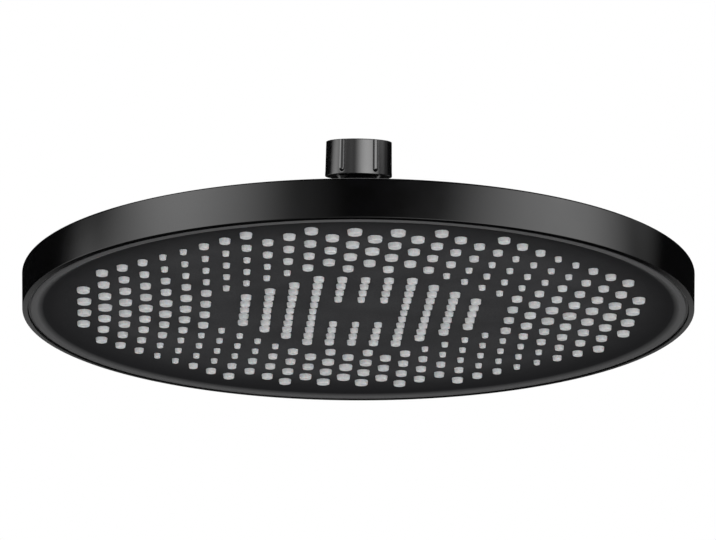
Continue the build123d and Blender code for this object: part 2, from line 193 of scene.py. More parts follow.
class NozzleSizes(PropertyGroup):
    """Silicone nozzles: an outer field on a bowed checkerboard and a middle field on a square grid."""

    tip: length("Tip height", 1.0, "Height of the tips")
    taper: length("Taper", 0.22, "Tip smaller than base, on the radius")
    tip_round: length("Tip round", 0.32, "Rounding of the tip's edge")
    orifice: length("Orifice", 0.55, "Radius of the jet's hole")
    orifice_depth: length("Orifice depth", 0.9, "Modelled depth of the jet's hole")
    root: length("Root", 0.2, "How far a nozzle reaches into the face")
    sides: count("Sides", 12, "Facets around a nozzle")
    pitch: length("Outer pitch", 8.48, "Step of the outer checkerboard at its centre")
    steps: count("Outer steps", 14, "Steps from the centre to the outermost row")
    reach: length("Outer reach", 129.3, "Farthest centre of a nozzle")
    stretch_along: plain("Stretch along", 0.031, "Growth of the pitch along a row")
    stretch_across: plain("Stretch across", 0.074, "Growth across the rows")
    hollow: count("Hollow", 7, "Half width of the gap in the outer field, in steps")
    hollow_corner: count("Hollow corner", 9, "Cut corners of that gap, in steps")
    small: length("Small diameter", 3.2, "Base diameter near the diagonals")
    first_growth: length("First growth", 0.7, "Extra for the first larger class")
    growth: length("Growth", 0.5, "Added with each larger class")
    middle_pitch: length("Middle pitch", 10.2, "Step of the middle grid")
    middle_steps: count("Middle steps", 5, "Steps from the centre of the grid")
    middle_corner: count("Middle corner", 7, "Cut corners of the grid, in steps")
    middle_small: length("Middle small diameter", 3.4, "Base diameter next to the bare centre")
    middle_growth: length("Middle growth", 0.28, "Added with each step outwards")
    grey: colour("Grey silicone", "#BABBBC", "Light grey of the nozzles")
    shade: colour("Silicone shade", "#ABACAE", "Slightly darker clouds in the silicone")


class NutSizes(PropertyGroup):
    """Swivel nut, along its own axis from the ball's centre."""

    ball_height: length("Ball height", 67.95, "Height of the ball's centre")
    lean: angle("Lean", 12.0, "Lean of the nut towards -Y")
    lower_radius: length("Lower radius", 15.15, "Gripped part at its lower edge")
    upper_radius: length("Upper radius", 14.9, "Gripped part at its top")
    bottom: length("Bottom", -2.1, "Lower edge of the gripped part")
    top: length("Top", 13.82, "Top of the nut")
    bevel: length("Bevel", 0.25, "Bevel at both edges")
    lip_radius: length("Lip radius", 10.65, "Narrow lip under the gripped part")
    lip_taper: length("Lip taper", 2.0, "Lip smaller at its lower end, on the radius")
    lip_bottom: length("Lip bottom", -6.2, "Lower end of the lip")
    lip_opening: length("Lip opening", 6.609, "Opening that the stem's neck swings in")
    shelf: length("Shelf", -4.85, "Inner floor under the ball's seat")
    ring_bore: length("Ring bore", 9.3, "Bore around the seat and the seal")
    seal_top: length("Seal top", 5.217, "Top of the seal")
    relief_radius: length("Relief radius", 10.3, "Groove at the inner end of the thread")
    thread_end: length("Thread end", 7.117, "Inner end of the thread")
    thread_radius: length("Thread radius", 9.316, "Crests of the inside pipe thread")
    thread_depth: length("Thread depth", 1.162, "Depth of the thread")
    thread_pitch: length("Thread pitch", 1.814, "Rise of the thread with each turn")
    lead_in: length("Lead-in", 1.2, "Bevel at the mouth of the thread")
    edge_round: length("Edge round", 0.25, "Radius on bevels and lip")
    fine_round: length("Fine round", 0.1, "Radius on all other edges")
    top_rough: plain("Top roughness", 0.45, "Satin of the faced top")
    grooves: count("Grooves", 6, "Number of grip grooves")
    groove_width: length("Groove width", 2.8, "Width of a grip groove")
    groove_depth: length("Groove depth", 0.7, "Depth of a grip groove")
    groove_stop: length("Groove stop", 1.3, "Groove's lower end above the nut's")
    groove_turn: angle("Groove turn", -3.3, "Turn of the grooves from X")
    black: colour("Black enamel", "#09090A", "Gloss enamel of the nut")


class StemSizes(PropertyGroup):
    """Hollow ball on its neck, hexagon collar and spigot, and the washer that lies in the nut."""

    ball_radius: length("Ball radius", 7.8, "Radius of the ball")
    ball_flat: length("Ball flat", 3.3, "Flat top above the ball's centre")
    neck_radius: length("Neck radius", 4.2, "Neck under the ball")
    collar_flats: length("Collar across flats", 18.0, "Width of the hexagon collar")
    collar_bottom: length("Collar bottom", 53.605, "Collar's seat on the boss")
    collar_top: length("Collar top", 58.605, "Top of the collar")
    spigot_radius: length("Spigot radius", 7.5, "Spigot in the post")
    spigot_end: length("Spigot end", 39.205, "Lower end of the spigot")
    bore_radius: length("Bore radius", 3.0, "Waterway through the stem")
    mouth_radius: length("Mouth radius", 5.2, "Waterway's mouth in the ball")
    fine_round: length("Fine round", 0.2, "Radius on collar and spigot")
    foot_round: length("Foot round", 0.5, "Radius between the collar and the neck")
    washer_radius: length("Washer radius", 9.2, "Outside of the inlet washer")
    washer_bore: length("Washer bore", 6.4, "Hole of the inlet washer")
    washer_bottom: length("Washer bottom", 5.667, "Lower side, from the ball's centre")
    washer_top: length("Washer top", 7.067, "Upper side, from the ball's centre")
    washer_round: length("Washer round", 0.3, "Radius on the washer's edges")
    brass: colour("Blackened brass", "#2B2826", "Dark plated brass of the stem")
    rubber: colour("Black rubber", "#19191A", "Nitrile rubber of washer and seals")
    steel: colour("Stainless steel", "#B9BABC", "Screen and screws")
    acetal: colour("Acetal", "#D9D8D2", "Milky plastic of the ball's seat")
    inner: colour("Inner ABS", "#3A3A3C", "Grey plastic of the chamber's lid")


class StageSizes(PropertyGroup):
    """Camera, floor and studio light."""

    azimuth: angle("Camera azimuth", -3.55, "Around the head from -Y")
    elevation: angle("Camera elevation", -15.78, "Below the level of the head")
    target: length("Target height", 0.55, "Point on the head's axis before the camera")
    distance: length("Camera distance", 1806.0, "From the target")
    focal: plain("Focal length", 4034.0, "In pixels of the picture")
    offset_x: plain("Offset right", 0.4, "Target, pixels from the picture's middle")
    offset_y: plain("Offset down", 45.7, "Target, pixels from the picture's middle")
    roll: angle("Camera roll", 0.1, "Turn about its line of sight")
    floor_height: length("Floor height", -4000.0, "Floor far below the hanging head")
    floor_radius: length("Floor radius", 12000.0, "Radius of the floor")
    fade_start: length("Fade start", 2500.0, "Radius where the floor starts to fade")
    fade_end: length("Fade end", 8000.0, "Radius where the floor is white")
    card_radius: length("Card radius", 2300.0, "Radius of the dark cards")
    card_inner: length("Card inner radius", 300.0, "Opening in the cards under the head")
    card_bottom: length("Card bottom", -795.0, "Lower edge of the cards")
    card_top: length("Card top", 2600.0, "Upper edge of the cards")
    fill: plain("Fill", 1.05, "Strength of the even light from all round")
    floor: colour("Floor", "#ECECEA", "Pale matt floor")
    card: colour("Cards", "#050505", "Black cloth of the cards")


def corner_arc(before, corner, after, radius, steps):
    """Points that round one corner of an outline.

    The arc's centre is on the corner's bisector, radius / sin(half the corner's angle) away, and the
    points turn evenly about it from one side to the other. One more point a third of the radius outside
    each end holds the flat sides flat under smooth shading.
    """
    back = (before - corner) / np.linalg.norm(before - corner)
    ahead = (after - corner) / np.linalg.norm(after - corner)
    half = math.acos(np.clip(back @ ahead, -1, 1)) / 2
    reach = radius / math.tan(half)
    middle = (back + ahead) / np.linalg.norm(back + ahead)
    centre = corner + middle * radius / math.sin(half)
    first, last = corner + back * reach - centre, corner + ahead * reach - centre
    sweep = math.pi - 2 * half
    share = np.linspace(0, sweep, steps + 1)[:, None]
    arc = centre + (np.sin(sweep - share) * first + np.sin(share) * last) / math.sin(sweep)
    hold = reach + radius / 3
    return np.vstack([corner + back * hold, arc, corner + ahead * hold])


def rounded(corners, radii, small, filled=None, steps=7):
    """Closed outline of (radius, height) with every corner rounded.

    radii gives the larger rounds by corner, small the round of all others, and filled, by the corner that
    a straight side starts from, how many rows are spread evenly along it.
    """
    corners = np.array(corners, float)
    arcs = [
        corner_arc(corners[i - 1], c, corners[(i + 1) % len(corners)], radii.get(i, small), steps)
        for i, c in enumerate(corners)
    ]
    parts = []
    for i, arc in enumerate(arcs):
        parts.append(arc)
        if filled and i in filled:
            parts.append(np.linspace(arc[-1], arcs[(i + 1) % len(arcs)][0], filled[i] + 2)[1:-1])
    return np.vstack(parts)


def even_turn(columns):
    """Evenly spaced angles of one whole turn."""
    return np.arange(columns) * TURN / columns


def turned(radius, height, angles):
    """Grid of a turned surface: x = r cos u, y = r sin u, z = height, with u along the first axis."""
    shape = np.broadcast_shapes(angles[:, None].shape, np.shape(radius))
    radius, height = np.broadcast_to(radius, shape), np.broadcast_to(height, shape)
    return np.stack([radius * np.cos(angles)[:, None], radius * np.sin(angles)[:, None], height], axis=-1)


def grid_faces(points, closed_outline):
    """Corner numbers of the four-sided faces of grids (copies, around, along), closed around."""
    copies, around, along = points.shape[:3]
    corner = np.arange(copies * around * along).reshape(copies, around, along)
    corner = np.concatenate([corner, corner[:, :1]], axis=1)
    if closed_outline:
        corner = np.concatenate([corner, corner[:, :, :1]], axis=2)
    sides = [corner[:, :-1, :-1], corner[:, 1:, :-1], corner[:, 1:, 1:], corner[:, :-1, 1:]]
    return np.stack(sides, axis=-1).reshape(-1, 4)


def placed(name, data):
    """New object in the scene, at the origin."""
    made = bpy.data.objects.new(name, data)
    bpy.context.scene.collection.objects.link(made)
    return made


def piece(name, grids, material, closed_outline=True, capped=False):
    """Smooth mesh object at the origin from one or more grids of points, with its poles merged.

    Where it is capped, one flat face with a sharp edge closes the last row of each copy.
    """
    grids = [g if g.ndim == 4 else g[None] for g in grids]
    starts = np.cumsum([0] + [g.size // 3 for g in grids])
    faces = np.concatenate([grid_faces(g, closed_outline) + s for g, s in zip(grids, starts)]).tolist()
    if capped:
        for g, start in zip(grids, starts):
            faces += (start + np.arange(g.size // 3).reshape(g.shape[:3])[:, :, -1]).tolist()
    mesh = bpy.data.meshes.new(name)
    mesh.from_pydata(np.concatenate([g.reshape(-1, 3) for g in grids]), [], faces)
    shape = bmesh.new()
    shape.from_mesh(mesh)
    bmesh.ops.remove_doubles(shape, verts=shape.verts, dist=SAME_POINT)
    shape.to_mesh(mesh)
    shape.free()
    mesh.shade_smooth()
    if capped:
        mesh.set_sharp_from_angle(angle=CAP_EDGE)
    mesh.materials.append(material)
    if mesh.validate():
        raise RuntimeError(f"{name} has faces that don't hold together")
    return placed(name, mesh)


def settle(made, body, slot, *nodes):
    """Let a piece ride on its body and stand for its solids; its slot is not used."""
    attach(made, body)
    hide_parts(*nodes)


def on_nut(points, sizes):
    """Carry points from the nut's own axis to its place: lean about X, then lift to the ball's centre."""
    lean = np.array(Matrix.Rotation(sizes.lean, 3, "X"))
    return points @ lean.T + np.array([0, 0, sizes.ball_height])


def add_node(tree, kind, inputs=None, **settings):
    """Add a shader node, set it up, give each named input a value or a link, and return its outputs."""
    node = tree.nodes.new("ShaderNode" + kind)
    for name, value in settings.items():
        setattr(node, name, value)
    for name, value in (inputs or {}).items():
        if isinstance(value, bpy.types.NodeSocket):
            tree.links.new(value, node.inputs[name])
        else:
            node.inputs[name].default_value = value
    return node.outputs


def empty_tree(owner):
    """Node tree of a material, a lamp or a world, without any nodes."""
    owner.use_nodes = True
    owner.node_tree.nodes.clear()
    return owner.node_tree


def empty_material(name):
    """New material with an empty node tree."""
    material = bpy.data.materials.new(name)
    return material, empty_tree(material)


def per_cell(size):
    """Scale of a pattern whose cells are this many millimetres wide, on coordinates in metres."""
    return 1 / (size * MM)


def mottle(tree, place, cloud, grain, detail):
    """Slow clouds times fine grains, both in millimetres, as a share from 0 to 1, and the grains alone."""
    clouds, grains = (
        add_node(tree, "TexNoise", {"Vector": place, "Scale": per_cell(size), "Detail": fine})[0]
        for size, fine in ((cloud, detail), (grain, GRAIN_DETAIL))
    )
    both = add_node(tree, "Math", {0: clouds, 1: grains}, operation="MULTIPLY")[0]
    return add_node(tree, "MapRange", {"Value": both, **NOISE_SPAN})[0], grains


def off_axis(tree, place):
    """Distance from the Z axis: the length of the place with its height left out."""
    level = add_node(tree, "VectorMath", {0: place, 1: (1, 1, 0)}, operation="MULTIPLY")[0]
    return add_node(tree, "VectorMath", {0: level}, operation="LENGTH")["Value"]


def moulded(name, light, dark, cloud, grain, relief, gloss, satin=None, **sockets):
    """Moulded plastic, rubber or enamel.

    Clouds and grains, in millimetres, move the colour from dark, if there is one, to light and the
    roughness through gloss, and the grains stand out by relief, in millimetres. Satin gives an axis, a
    level along it in metres and the roughness above that level. Other sockets are given by name.
    """
    material, tree = empty_material(name)
    place = add_node(tree, "TexCoord")["Object"]
    share, grains = mottle(tree, place, cloud, grain, CLOUD_DETAIL)
    base = light
    if dark:
        ends = {"Factor": share, FROM_COLOUR: dark, TO_COLOUR: light}
        base = add_node(tree, "Mix", ends, data_type="RGBA")[MIXED_COLOUR]
    rough = add_node(tree, "MapRange", {"Value": share, "To Min": gloss[0], "To Max": gloss[1]})[0]
    if satin:
        axis, level, matt = satin
        height = add_node(tree, "VectorMath", {0: place, 1: axis}, operation="DOT_PRODUCT")["Value"]
        fade = {"Value": height, "From Min": level - SATIN_FADE, "From Max": level}
        above = add_node(tree, "MapRange", fade)[0]
        rough = add_node(tree, "Mix", {"Factor": above, "A": rough, "B": matt})[0]
    bump = add_node(tree, "Bump", {"Height": grains, "Strength": 1.0, "Distance": relief * MM})[0]
    others = {key.replace("_", " "): value for key, value in sockets.items()}
    look = {"Base Color": base, "Roughness": rough, "Normal": bump, **others}
    shader = add_node(tree, "BsdfPrincipled", look)[0]
    add_node(tree, "OutputMaterial", {"Surface": shader})
    return material


class SHOWER_OT_housing(Operator):
    """Turn the moulded shell: side wall, conical back, boss and the inside."""

    bl_idname = "shower.housing"
    bl_label = "Housing"

    def execute(self, context):
        s = context.scene.shower_housing
        rise = math.tan(s.slope)
        inner = s.wall / math.cos(s.slope)
        bore = s.edge_radius - s.wall
        seat = bore - s.seat_step

        def back(radius):
            return s.wall_top + (s.top_radius - radius) * rise

        reach = math.tan((math.pi / 2 - s.slope) / 2)
        post_top = s.boss_top - s.wall
        outside = min(s.boss_blend, BLEND_SHARE * (s.boss_top - s.top_round - back(s.boss_radius)) / reach)
        inside = min(s.boss_blend, BLEND_SHARE * (post_top - back(s.cavity_radius) + inner) / reach)
        corners = [
            (bore, s.edge_lift - s.lip_rise), (s.edge_radius, s.edge_lift),
            (s.top_radius, s.wall_top), (s.boss_radius, back(s.boss_radius)),
            (s.boss_radius, s.boss_top), (s.hole_radius, s.boss_top),
            (s.hole_radius, post_top), (s.cavity_radius, post_top),
            (s.cavity_radius, back(s.cavity_radius) - inner), (seat, back(seat) - inner),
            (seat, s.seat_height), (bore, s.seat_height),
        ]
        radii = {1: s.lower_round, 2: s.top_round, 3: outside, 4: s.top_round, 8: inside}
        rows = {2: 6, 8: 4}  # along the back, outside and inside
        outline = rounded(corners, radii, s.fine_round, rows)
        # ABS moulded in a tool with a polished rim and a blasted back: deep soft gloss on the wall, slow
        # clouds of haze and a faint orange peel, and a satin back
        black = moulded(
            "polished_black_abs", s.black, linear("#030303"),
            cloud=60, grain=9, relief=0.003, gloss=(0.1, 0.13),
            satin=((0, 0, 1), s.wall_top, s.back_rough), IOR=1.53,
        )
        shell = piece("housing_shell", [turned(*outline.T, even_turn(HEAD_COLUMNS))], black)
        settle(shell, "head", "black_abs", "top_housing")
        return {"FINISHED"}


def textured(s):
    """Charcoal ABS from a spark-eroded tool: matt, finely grained, with painted shade towards the dished
    slope.

    A smoother bead with a lighter grey of painted sheen lies at its edge. The real grain is about 0.1 mm; it
    is drawn at 0.7 mm so that it shows.
    """
    material, tree = empty_material("spark_textured_charcoal_abs")
    place = add_node(tree, "TexCoord")["Object"]
    share, grains = mottle(tree, place, cloud=30, grain=0.7, detail=GRAIN_DETAIL)
    radius = off_axis(tree, place)
    # Painted shade: darker from the flat's outer band over the dished slope
    fade = {"Value": radius, "From Min": s.flat_radius - s.fade, "From Max": s.dish_radius - s.fade_end}
    slope = add_node(tree, "MapRange", fade)[0]
    # Over the bead the colour turns to its lighter grey, a painted sheen, and the roughness and the grain drop
    rise = {"Value": radius, "From Min": s.dish_radius, "From Max": s.bead_inner}
    edge = add_node(tree, "MapRange", rise)[0]
    # Clouds and grains mix the two charcoals, then the painted shade of the dished slope and the painted sheen
    # of the bead are blended in
    base = s.shade
    for part, tint in ((share, s.charcoal), (slope, s.dish), (edge, s.bead)):
        ends = {"Factor": part, FROM_COLOUR: base, TO_COLOUR: tint}
        base = add_node(tree, "Mix", ends, data_type="RGBA")[MIXED_COLOUR]
    rough = add_node(tree, "MapRange", {"Value": edge, "To Min": 1.0, "To Max": 0.3})[0]
    strength = add_node(tree, "MapRange", {"Value": edge, "To Min": 0.35, "To Max": 0.05})[0]
    bump = add_node(tree, "Bump", {"Height": grains, "Strength": strength, "Distance": 0.05 * MM})[0]
    look = {"Base Color": base, "Roughness": rough, "Normal": bump, "IOR": 1.5, "Specular IOR Level": 0.1}
    shader = add_node(tree, "BsdfPrincipled", look)[0]
    add_node(tree, "OutputMaterial", {"Surface": shader})
    return material


class SHOWER_OT_face(Operator):
    """Turn the dished spray face with its bead in front and the chamber's ring and pillars behind."""

    bl_idname = "shower.face"
    bl_label = "Spray face"

    def execute(self, context):
        s = context.scene.shower_face
        # Bead: arc of a circle over its width, as deep as its crown
        half = (s.bead_outer - s.bead_inner) / 2
        bead_round = (half**2 + s.bead_crown**2) / (2 * s.bead_crown)
        reach = math.asin(half / bead_round)
        lean = np.linspace(-reach, reach, num=15)
        bead_r = s.bead_inner + half + bead_round * np.sin(lean)
        bead = np.column_stack([bead_r, bead_round * (1 - np.cos(lean))])
        drop = (s.flat_height - s.dish_height) / (s.dish_radius - s.flat_radius)
        fall = (s.dish_height - s.bead_crown) / (s.bead_inner - s.dish_radius)
        front = [
            (0, s.flat_height), (s.flat_radius - s.hold, s.flat_height),
            (s.flat_radius + s.hold, s.flat_height - drop * s.hold),
            (s.dish_radius - s.hold, s.dish_height + drop * s.hold),
            (s.dish_radius + s.hold, s.dish_height - fall * s.hold),
        ]
        back = [
            (s.bead_outer, s.flange_bottom), (s.flange_radius, s.flange_bottom),
            (s.flange_radius, s.flange_top), (s.skirt_radius, s.flange_top),
            (s.skirt_radius, s.back), (s.ring_outer, s.back),
            (s.ring_outer, s.ring_top), (s.groove_outer, s.ring_top),
            (s.groove_outer, s.groove_floor), (s.groove_inner, s.groove_floor),
            (s.groove_inner, s.ring_top), (s.ring_inner, s.ring_top),
            (s.ring_inner, s.back),
        ]
        # Two helping corners close the outline for its rounds and are then left out
        closed = [(s.bead_outer, s.bead_crown - s.back), *back, (0, s.back)]
        closed = rounded(closed, {}, s.fine_round, steps=3)
        behind = closed[(closed[:, 0] > s.ring_inner / 2) & (closed[:, 1] > s.bead_crown)]
        outline = np.vstack([front, bead, behind, [0, s.back]])
        body = turned(*outline.T, even_turn(HEAD_COLUMNS))
        middle = (s.flat_height + s.back) / 2
        post = [
            (0, middle), (s.pillar_radius, middle),
            (s.pillar_radius, s.ring_top), (s.pilot_radius, s.ring_top),
            (s.pilot_radius, s.back), (0, s.back),
        ]
        pillar = turned(*np.array(post).T, even_turn(PILLAR_COLUMNS))
        around = even_turn(s.pillars)
        shift = s.pillar_circle * np.column_stack([np.cos(around), np.sin(around), 0 * around])
        pillars = pillar[None] + shift[:, None, None]
        face = piece("spray_plate", [body, pillars], textured(s), closed_outline=False)
        settle(face, "head", "charcoal_abs", "spray_face")
        return {"FINISHED"}


def outer_field(s):
    """Centres and diameters of the outer field.

    Every other site of a board of steps is used. A site's place is pitch times its steps, times one
    plus a share of the square of its steps along and across, so the rows bow outwards. The diameter
    grows by one class for every two that the steps along and across differ by beyond three, and by one
    more in two wide rows.
    """
    wide_rows = (11, 19)  # steps along and across added up
    steps = np.arange(-s.steps, s.steps + 1)
    along, across = (g.ravel() for g in np.meshgrid(steps, steps))
    a, b = abs(along), abs(across)
    own, other = (a / s.steps) ** 2, (b / s.steps) ** 2
    x = s.pitch * along * (1 + s.stretch_along * own + s.stretch_across * other)
    y = s.pitch * across * (1 + s.stretch_along * other + s.stretch_across * own)
    hollow = (np.maximum(a, b) <= s.hollow) & (a + b <= s.hollow_corner)
    used = ((a + b) % 2 == 1) & ~hollow & (np.hypot(x, y) <= s.reach)
    grade = np.maximum(0, (abs(a - b) - 3) // 2)
    grade += (np.maximum(a, b) > s.hollow) & np.isin(a + b, wide_rows) & (abs(a - b) > 1)
    wide = s.small + np.where(grade > 0, s.first_growth + s.growth * grade, 0)
    return np.column_stack([x, y, wide])[used]


def middle_field(s):
    """Centres and diameters of the middle field: a square grid with cut corners and a bare centre."""
    steps = np.arange(-s.middle_steps, s.middle_steps + 1)
    along, across = (g.ravel() for g in np.meshgrid(steps, steps))
    out = abs(along) + abs(across)
    used = (out <= s.middle_corner) & (np.maximum(abs(along), abs(across)) > 1)
    wide = s.middle_small + s.middle_growth * (out - 2)
    return np.column_stack([s.middle_pitch * along, s.middle_pitch * across, wide])[used]


class SHOWER_OT_nozzles(Operator):
    """Set the silicone nozzles of both fields into the face."""

    bl_idname = "shower.nozzles"
    bl_label = "Nozzles"

    def execute(self, context):
        s, face = context.scene.shower_nozzles, context.scene.shower_face
        fields = np.vstack([outer_field(s), middle_field(s)])
        base = fields[:, 2, None] / 2
        tip = base - s.taper
        # Along one nozzle, from inside the face to the bottom of its hole: radius and height of each row
        none = 0 * base
        round_off = HALF_ROUND * s.tip_round
        radius = [base, tip, tip - round_off, tip - s.tip_round, s.orifice + none, none]
        above = np.array([s.tip_round, round_off, 0, 0, s.orifice_depth])
        height = np.append(face.flat_height + s.root, s.tip + above)
        around = even_turn(s.sides)[None, :, None]
        radius = np.hstack(radius)[:, None, :]
        height = np.broadcast_to(height, radius.shape)[:, :, ::-1] + 0 * around
        radius = radius[:, :, ::-1] + 0 * around
        x = fields[:, 0, None, None] + radius * np.cos(around)
        y = fields[:, 1, None, None] + radius * np.sin(around)
        grid = np.stack([x, y, height], axis=-1)
        # Moulded silicone: soft satin grey, slightly clouded, that lets a little light in
        grey = moulded(
            "moulded_grey_silicone", s.grey, s.shade,
            cloud=9, grain=0.6, relief=0.01, gloss=(0.42, 0.55),
            IOR=1.41, Subsurface_Weight=0.15, Subsurface_Scale=0.6 * MM,
        )
        made = piece("jet_nozzles", [grid], grey, closed_outline=False, capped=True)
        settle(made, "head", "grey_silicone", "spray_nozzles")
        return {"FINISHED"}


def groove_angles(s):
    """Angles of the columns: close together over each groove and its edges, wider between grooves.

    The shares are of half a groove's width, from its middle to just past its edge.
    """
    half = s.groove_width / 2 / s.lower_radius
    share = np.array([0.15, 0.3, 0.45, 0.6, 0.72, 0.82, 0.9, 0.95, 0.98, 1.0, 1.02, 1.08, 1.2])
    near = np.concatenate([-share[::-1], [0], share]) * half
    sector = TURN / s.grooves
    between = np.linspace(near[-1], sector - near[-1], num=18)[1:-1]
    centres = s.groove_turn + np.arange(s.grooves)[:, None] * sector
    return np.ravel(centres + np.concatenate([near, between]))


def groove_floor(s, angles, height):
    """Radius of the grooved wall.

    Across a groove the depth follows the arc of a circle over its width. The groove's lower end is a
    half circle about a point half its width above its stop, so below it distance counts from there.
    """
    sector = TURN / s.grooves
    off = (angles - s.groove_turn + sector / 2) % sector - sector / 2
    half = s.groove_width / 2
    below = np.minimum(height - (s.bottom + s.groove_stop + half), 0)
    apart = np.hypot(off * s.lower_radius, below)
    bow = (half**2 + s.groove_depth**2) / (2 * s.groove_depth)
    wall = s.lower_radius + (s.upper_radius - s.lower_radius) * (height - s.bottom) / (s.top - s.bottom)
    depth = np.sqrt(np.maximum(bow**2 - apart**2, 0)) - (bow - s.groove_depth)
    return np.where(apart < half, wall - depth, np.inf)


def thread(s, angles, height):
    """Radius of the thread: a cosine wave along the axis, moved on by one pitch with each turn."""
    phase = height / s.thread_pitch - angles / TURN
    return s.thread_radius + s.thread_depth * (0.5 - 0.5 * np.cos(TURN * phase))


class SHOWER_OT_nut(Operator):
    """Turn the swivel nut, with its grip grooves outside and its pipe thread inside."""

    bl_idname = "shower.nut"
    bl_label = "Swivel nut"

    def execute(self, context):
        s = context.scene.shower_nut
        corners = [
            (s.lip_opening, s.lip_bottom), (s.lip_radius - s.lip_taper, s.lip_bottom),
            (s.lip_radius, s.bottom), (s.lower_radius - s.bevel, s.bottom),
            (s.lower_radius, s.bottom + s.bevel), (s.upper_radius, s.top - s.bevel),
            (s.upper_radius - s.bevel, s.top), (s.thread_radius + s.lead_in, s.top),
            (s.thread_radius, s.top - s.lead_in), (s.thread_radius, s.thread_end),
            (s.relief_radius, s.thread_end), (s.relief_radius, s.seal_top),
            (s.ring_bore, s.seal_top), (s.ring_bore, s.shelf),
            (s.lip_opening, s.shelf),
        ]
        radii = {i: s.edge_round for i in (1, 3, 4, 5, 6)}
        rows = {4: 40, 7: 10, 8: 52}  # along the grip, the lead-in and the thread
        outline = rounded(corners, radii, s.fine_round, rows, steps=4)
        radius, height = outline.T
        angles = groove_angles(s)
        grooved = np.minimum(radius, groove_floor(s, angles[:, None], height))
        threaded = np.maximum(radius, thread(s, angles[:, None], height))
        slack = 0.01 * MM
        outer = radius > s.upper_radius - s.bevel - slack
        bore = (radius < s.thread_radius + s.lead_in) & (height > s.thread_end) & (radius > s.ring_bore)
        radius = np.where(outer, grooved, np.where(bore, threaded, radius))
        # Gloss enamel baked on brass: a clear, wet shine with a faint orange peel, satin on the faced top
        axis = (0, -math.sin(s.lean), math.cos(s.lean))
        black = moulded(
            "baked_black_enamel", s.black, linear("#070708"),
            cloud=30, grain=4, relief=0.001, gloss=(0.13, 0.16),
            satin=(axis, s.ball_height * math.cos(s.lean) + s.top, s.top_rough), IOR=1.75,
        )
        made = piece("collar_nut", [on_nut(turned(radius, height, angles), s)], black)
        settle(made, "nut", "black_nut", "swivel_nut")
        return {"FINISHED"}


class SHOWER_OT_stem(Operator):
    """Turn the hollow ball stem with its hexagon collar."""

    bl_idname = "shower.stem"
    bl_label = "Ball stem"

    def execute(self, context):
        s, nut = context.scene.shower_stem, context.scene.shower_nut
        flat = nut.ball_height + s.ball_flat
        half = s.collar_flats / 2
        corners = [
            (s.bore_radius, s.spigot_end), (s.spigot_radius, s.spigot_end),
            (s.spigot_radius, s.collar_bottom), (half, s.collar_bottom),
            (half, s.collar_top), (s.neck_radius, s.collar_top),
        ]
        low = -math.acos(s.neck_radius / s.ball_radius)
        high = math.asin(s.ball_flat / s.ball_radius)
        lean = np.linspace(low, high, num=28)
        ball = np.column_stack([np.cos(lean), np.sin(lean)]) * s.ball_radius + [0, nut.ball_height]
        hold = 0.3 * MM  # a row this far below the ball keeps the neck straight
        neck = ball[0] - [0, hold]
        mouth = [(s.mouth_radius, flat), (s.bore_radius, flat - (s.mouth_radius - s.bore_radius))]
        # Two helping corners close the outline for its rounds and are then left out
        helping = [neck - [0, MM], (MM, neck[1])]
        around = rounded([*corners, *helping], {5: s.foot_round}, s.fine_round, steps=3)
        slack = 0.001 * MM
        foot = s.collar_top + s.foot_round + s.fine_round
        lower = around[(around[:, 1] < foot) & (around[:, 0] > s.bore_radius - slack)]
        outline = np.vstack([lower, neck, ball, mouth])
        radius, height = outline.T
        angles = even_turn(STEM_COLUMNS)
        # Hexagon: half its width over the cosine of the angle from the nearest flat. A cone bevels its
        # corners, and starts just outside the flats at the collar's top.
        sector = TURN / 6
        hexagon = half / np.cos(angles % sector - sector / 2)
        cone_start, cone_slope = 1.04, 1.7
        bevel = half * cone_start + cone_slope * (s.collar_top - height)
        near = 0.1 * MM
        collar = (radius > s.spigot_radius + near) & (height < s.collar_top + near)
        grown = np.minimum(radius * hexagon[:, None] / half, bevel)
        radius = np.where(collar, grown, radius)
        # Brass under a black plating: a dark metal with a finely mottled sheen, a little warm in the light
        brass = moulded(
            "black_plated_brass", s.brass, linear("#232120"),
            cloud=6, grain=0.35, relief=0.004, gloss=(0.28, 0.38), Metallic=1.0,
        )
        made = piece("turned_ball_stem", [turned(radius, height, angles)], brass)
        settle(made, "head", "black_brass", "ball_stem")
        return {"FINISHED"}


